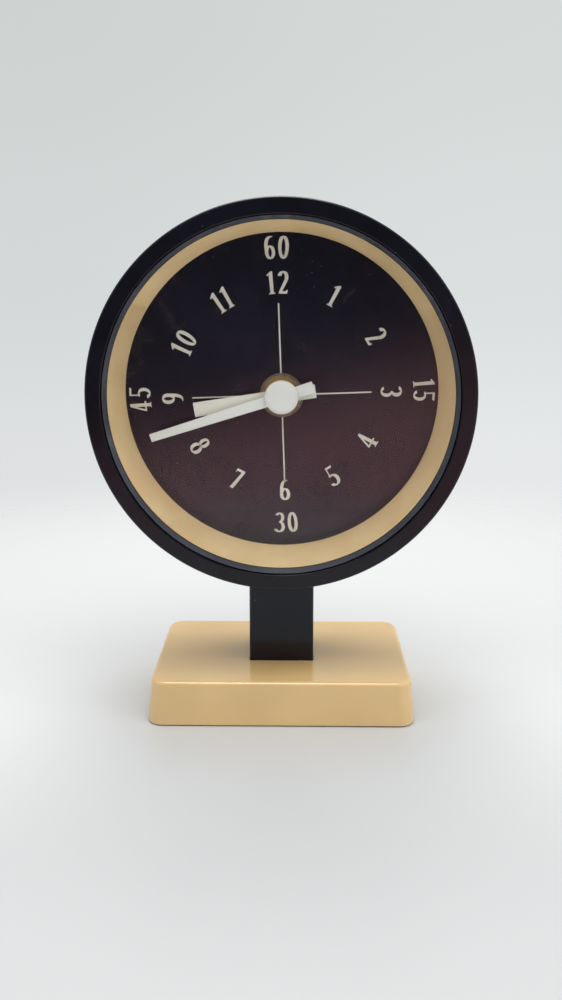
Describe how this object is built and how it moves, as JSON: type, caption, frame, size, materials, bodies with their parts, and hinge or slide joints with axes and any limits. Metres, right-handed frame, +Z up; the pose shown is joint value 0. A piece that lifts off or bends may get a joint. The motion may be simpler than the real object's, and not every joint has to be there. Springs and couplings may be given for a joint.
{
  "type": "desk clock",
  "caption": "Round desk clock: black drum case with a deep tan inner ring, black numbered dial and white bar hands, on a short black stem and a tan moulded base; quartz movement inside.",
  "frame": {"origin": "middle of the underside of the base pad, on the table under the base's centre", "axes": "+Z up, the dial faces -Y, +X to the viewer's right when facing the dial"},
  "size_m": [0.1204, 0.0574, 0.1677],
  "materials": {
    "black_plastic": "satin moulded, black",
    "slate_gloss": "gloss, dark slate grey",
    "clear_acrylic": "clear, polished",
    "tan_plastic": "satin moulded, tan",
    "dial_lacquer": "gloss lacquer, blue-black",
    "hand_enamel": "satin enamel, off-white",
    "wheel_plastic": "moulded, natural white",
    "movement_plastic": "moulded, black",
    "brass": "turned or stamped",
    "steel": "plain, satin",
    "magnet": "moulded magnet, dark grey",
    "copper_wire": "enamelled copper wire",
    "board_laminate": "green laminate",
    "battery_sleeve": "gloss sleeve, plain",
    "rubber": "soft, black",
    "pad_felt": "felt, dark"
  },
  "bodies": {
    "case": {"ballast_plate": "steel", "base_cover": "black_plastic", "base_cover_screw_1": "steel", "base_cover_screw_2": "steel", "base_pad": "pad_felt", "base_shell": "tan_plastic", "battery": "battery_sleeve", "bezel": "black_plastic", "circuit_board": "board_laminate", "coil": "copper_wire", "coil_core": "steel", "contact_negative": "steel", "contact_positive": "steel", "control_chip": "black_plastic", "crystal": "clear_acrylic", "crystal_ring": "slate_gloss", "dial": "dial_lacquer", "dial_washer": "steel", "drum_housing": "black_plastic", "mounting_nut": "brass", "movement_cushion": "rubber", "movement_front_plate": "movement_plastic", "movement_rear_case": "movement_plastic", "quartz_resonator": "steel", "rear_cover": "black_plastic", "rear_cover_screw_1": "steel", "rear_cover_screw_2": "steel", "rear_cover_screw_3": "steel", "reflector_ring": "tan_plastic", "stator": "steel", "stem": "black_plastic", "stem_foot_screw_1": "steel", "stem_foot_screw_2": "steel", "stem_top_screw_1": "steel", "stem_top_screw_2": "steel", "train_plate": "movement_plastic"},
    "minute_set": {"minute_hand": "hand_enamel", "minute_hand_cap": "hand_enamel", "minute_arbor": "steel"},
    "hour_set": {"hour_hand": "hand_enamel", "hour_wheel": "wheel_plastic"},
    "setting_set": {"motion_wheel": "wheel_plastic", "setting_knob": "black_plastic"},
    "centre_set": {"centre_wheel": "brass"},
    "third_set": {"third_wheel": "wheel_plastic"},
    "fourth_set": {"fourth_wheel": "wheel_plastic"},
    "intermediate_set": {"intermediate_wheel": "wheel_plastic"},
    "rotor_set": {"rotor": "magnet"},
    "door": {"battery_door": "black_plastic"}
  },
  "joints": [
    {"name": "minute_turn", "type": "hinge", "parent": "case", "child": "minute_set", "pos_m": [0, 0, 0.1075], "axis": [0, 1, 0], "continuous": true},
    {"name": "hour_turn", "type": "hinge", "parent": "case", "child": "hour_set", "pos_m": [0, 0, 0.1075], "axis": [0, 1, 0], "continuous": true},
    {"name": "setting_turn", "type": "hinge", "parent": "case", "child": "setting_set", "pos_m": [0.01128, 0, 0.1116], "axis": [0, 1, 0], "continuous": true},
    {"name": "centre_turn", "type": "hinge", "parent": "case", "child": "centre_set", "pos_m": [0, 0, 0.1075], "axis": [0, 1, 0], "continuous": true},
    {"name": "third_turn", "type": "hinge", "parent": "case", "child": "third_set", "pos_m": [-0.01064, 0, 0.10938], "axis": [0, 1, 0], "continuous": true},
    {"name": "fourth_turn", "type": "hinge", "parent": "case", "child": "fourth_set", "pos_m": [-0.0121, 0, 0.11766], "axis": [0, 1, 0], "continuous": true},
    {"name": "intermediate_turn", "type": "hinge", "parent": "case", "child": "intermediate_set", "pos_m": [-0.0061, 0, 0.12113], "axis": [0, 1, 0], "continuous": true},
    {"name": "rotor_turn", "type": "hinge", "parent": "case", "child": "rotor_set", "pos_m": [-0.00051, 0, 0.12316], "axis": [0, 1, 0], "continuous": true},
    {"name": "door_slide", "type": "slide", "parent": "case", "child": "door", "axis": [0, 0, -1], "range_m": [0, 0.018]}
  ],
  "couplings": [
    {"joint": "hour_turn", "follows": "minute_turn", "ratio": 0.083333},
    {"joint": "setting_turn", "follows": "minute_turn", "ratio": -0.33333},
    {"joint": "third_turn", "follows": "fourth_turn", "ratio": -0.13333},
    {"joint": "centre_turn", "follows": "fourth_turn", "ratio": 0.016667},
    {"joint": "intermediate_turn", "follows": "fourth_turn", "ratio": -6},
    {"joint": "rotor_turn", "follows": "fourth_turn", "ratio": 30}
  ]
}
